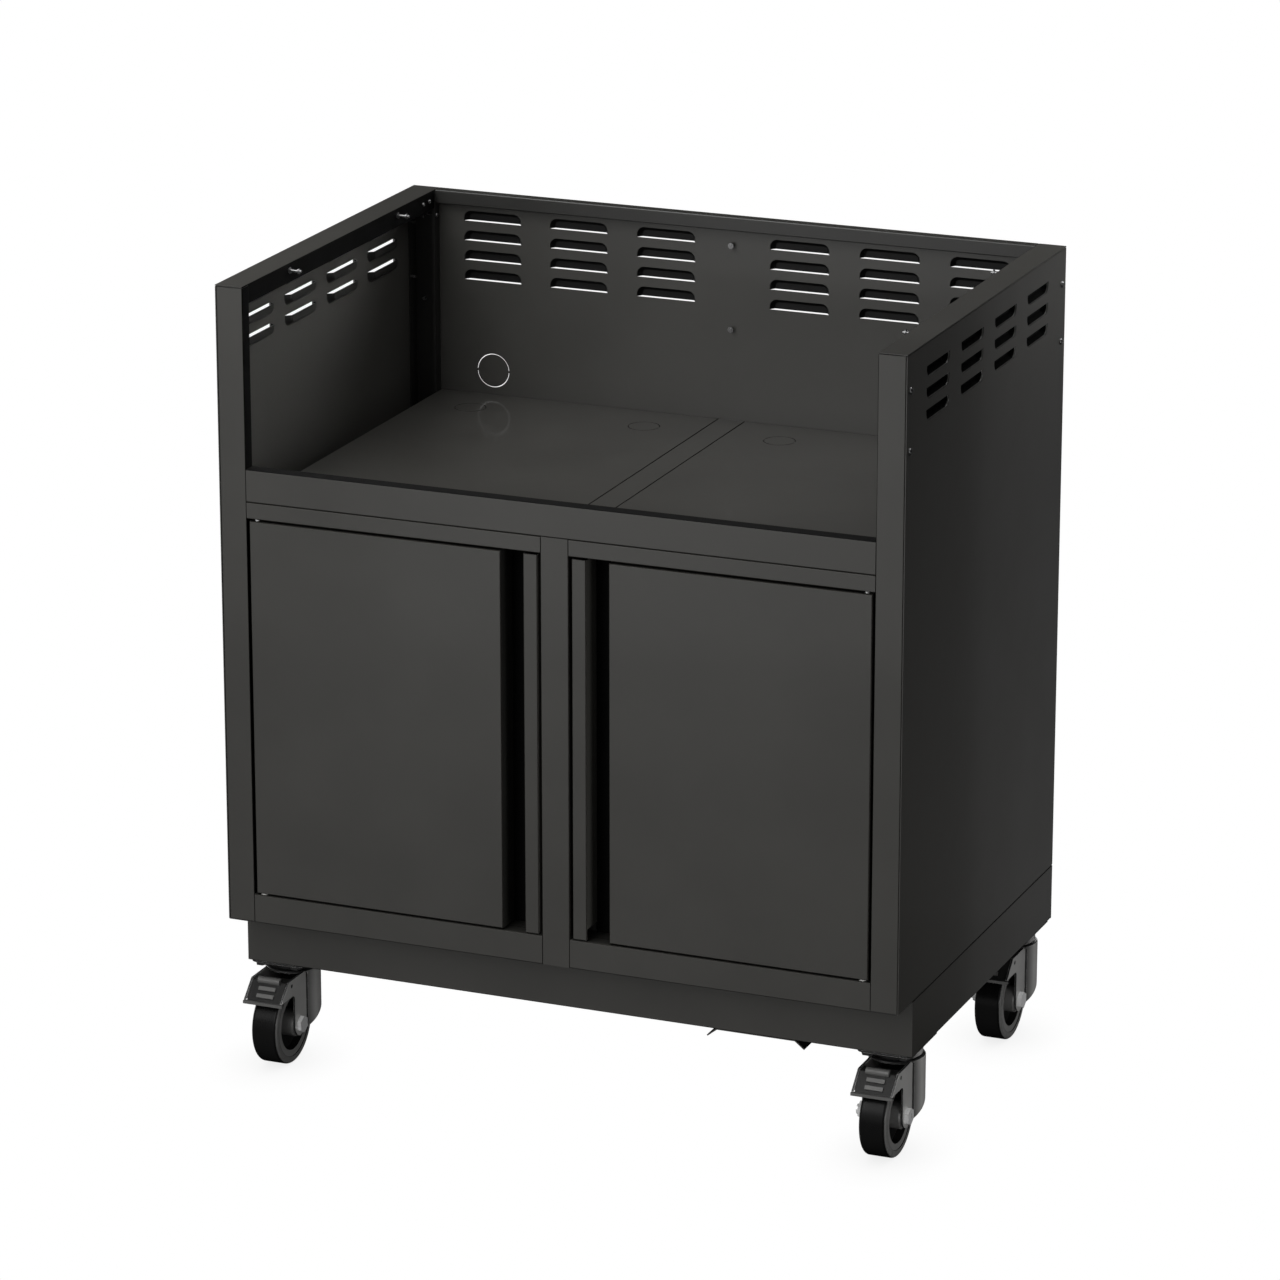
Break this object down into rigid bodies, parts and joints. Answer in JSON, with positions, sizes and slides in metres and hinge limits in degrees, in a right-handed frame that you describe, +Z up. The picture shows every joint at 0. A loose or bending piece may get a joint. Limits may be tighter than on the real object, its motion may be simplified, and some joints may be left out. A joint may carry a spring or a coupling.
{
  "type": "outdoor kitchen cabinet",
  "caption": "Black sheet-metal outdoor kitchen cabinet with an open grill bay, vented sides and back, two hinged doors with finger grooves, a recessed plinth and braked swivel casters.",
  "frame": {"origin": "on the ground under the middle of the case", "axes": "+X to the right seen from the front, +Z up, the doors face -Y"},
  "size_m": [0.8428, 0.5547, 0.9647],
  "materials": {
    "powder_coat": "satin charcoal powder coat",
    "caster_steel": "dark grey coated steel",
    "pedal_steel": "dark coated steel",
    "zinc_plate": "bright zinc plate",
    "tyre": "black rubber",
    "black_plastic": "moulded black plastic",
    "nylon": "natural nylon"
  },
  "bodies": {
    "cabinet_frame": {"left_side_panel": "powder_coat", "right_side_panel": "powder_coat", "left_front_post": "powder_coat", "right_front_post": "powder_coat", "left_rear_post": "powder_coat", "right_rear_post": "powder_coat", "left_top_cap": "powder_coat", "right_top_cap": "powder_coat", "left_top_rail": "powder_coat", "right_top_rail": "powder_coat", "left_bottom_rail": "powder_coat", "right_bottom_rail": "powder_coat", "left_grill_shelf": "powder_coat", "right_grill_shelf": "powder_coat", "left_plinth_side": "powder_coat", "right_plinth_side": "powder_coat", "rear_panel": "powder_coat", "rear_top_rail": "powder_coat", "front_apron": "powder_coat", "centre_stile": "powder_coat", "shelf_centre_strip": "powder_coat", "shelf_side_rails": "powder_coat", "base_panel": "powder_coat", "plinth_front": "powder_coat", "plinth_rear": "powder_coat", "base_bracket": "powder_coat", "panel_screws": "zinc_plate", "grill_fixing_bolts": "zinc_plate", "hinge_bushings": "nylon", "door_catches": "black_plastic", "caster_top_plates": "caster_steel", "caster_fasteners": "zinc_plate"},
    "left_door": {"left_door_panel": "powder_coat", "left_door_liner": "powder_coat", "left_handle_channel": "powder_coat", "left_hinge_pins": "zinc_plate"},
    "right_door": {"right_door_panel": "powder_coat", "right_door_liner": "powder_coat", "right_handle_channel": "powder_coat", "right_hinge_pins": "zinc_plate"},
    "front_left_fork": {"front_left_swivel_fork": "caster_steel", "front_left_axle_bolt": "zinc_plate"},
    "front_left_wheel": {"front_left_tyre": "tyre", "front_left_hub": "black_plastic"},
    "front_left_pedal": {"front_left_brake_pedal": "pedal_steel"},
    "front_right_fork": {"front_right_swivel_fork": "caster_steel", "front_right_axle_bolt": "zinc_plate"},
    "front_right_wheel": {"front_right_tyre": "tyre", "front_right_hub": "black_plastic"},
    "front_right_pedal": {"front_right_brake_pedal": "pedal_steel"},
    "rear_left_fork": {"rear_left_swivel_fork": "caster_steel", "rear_left_axle_bolt": "zinc_plate"},
    "rear_left_wheel": {"rear_left_tyre": "tyre", "rear_left_hub": "black_plastic"},
    "rear_left_pedal": {"rear_left_brake_pedal": "pedal_steel"},
    "rear_right_fork": {"rear_right_swivel_fork": "caster_steel", "rear_right_axle_bolt": "zinc_plate"},
    "rear_right_wheel": {"rear_right_tyre": "tyre", "rear_right_hub": "black_plastic"},
    "rear_right_pedal": {"rear_right_brake_pedal": "pedal_steel"}
  },
  "joints": [
    {"name": "left_door_hinge", "type": "hinge", "parent": "cabinet_frame", "child": "left_door", "pos_m": [-0.3739, -0.2676, 0.46], "axis": [0, 0, -1], "range_deg": [0, 105]},
    {"name": "right_door_hinge", "type": "hinge", "parent": "cabinet_frame", "child": "right_door", "pos_m": [0.3739, -0.2676, 0.46], "axis": [0, 0, 1], "range_deg": [0, 105]},
    {"name": "front_left_swivel", "type": "hinge", "parent": "cabinet_frame", "child": "front_left_fork", "pos_m": [-0.3838, -0.1764, 0.1127], "axis": [0, 0, 1], "continuous": true},
    {"name": "front_left_wheel_spin", "type": "hinge", "parent": "front_left_fork", "child": "front_left_wheel", "pos_m": [-0.3838, -0.2104, 0.05], "axis": [1, 0, 0], "continuous": true},
    {"name": "front_left_brake", "type": "hinge", "parent": "front_left_fork", "child": "front_left_pedal", "pos_m": [-0.3838, -0.2324, 0.105], "axis": [1, 0, 0], "range_deg": [0, 12]},
    {"name": "front_right_swivel", "type": "hinge", "parent": "cabinet_frame", "child": "front_right_fork", "pos_m": [0.3838, -0.1764, 0.1127], "axis": [0, 0, 1], "continuous": true},
    {"name": "front_right_wheel_spin", "type": "hinge", "parent": "front_right_fork", "child": "front_right_wheel", "pos_m": [0.3838, -0.2104, 0.05], "axis": [1, 0, 0], "continuous": true},
    {"name": "front_right_brake", "type": "hinge", "parent": "front_right_fork", "child": "front_right_pedal", "pos_m": [0.3838, -0.2324, 0.105], "axis": [1, 0, 0], "range_deg": [0, 12]},
    {"name": "rear_left_swivel", "type": "hinge", "parent": "cabinet_frame", "child": "rear_left_fork", "pos_m": [-0.3838, 0.2249, 0.1127], "axis": [0, 0, 1], "continuous": true},
    {"name": "rear_left_wheel_spin", "type": "hinge", "parent": "rear_left_fork", "child": "rear_left_wheel", "pos_m": [-0.3838, 0.1909, 0.05], "axis": [1, 0, 0], "continuous": true},
    {"name": "rear_left_brake", "type": "hinge", "parent": "rear_left_fork", "child": "rear_left_pedal", "pos_m": [-0.3838, 0.1689, 0.105], "axis": [1, 0, 0], "range_deg": [0, 12]},
    {"name": "rear_right_swivel", "type": "hinge", "parent": "cabinet_frame", "child": "rear_right_fork", "pos_m": [0.3838, 0.2249, 0.1127], "axis": [0, 0, 1], "continuous": true},
    {"name": "rear_right_wheel_spin", "type": "hinge", "parent": "rear_right_fork", "child": "rear_right_wheel", "pos_m": [0.3838, 0.1909, 0.05], "axis": [1, 0, 0], "continuous": true},
    {"name": "rear_right_brake", "type": "hinge", "parent": "rear_right_fork", "child": "rear_right_pedal", "pos_m": [0.3838, 0.1689, 0.105], "axis": [1, 0, 0], "range_deg": [0, 12]}
  ]
}
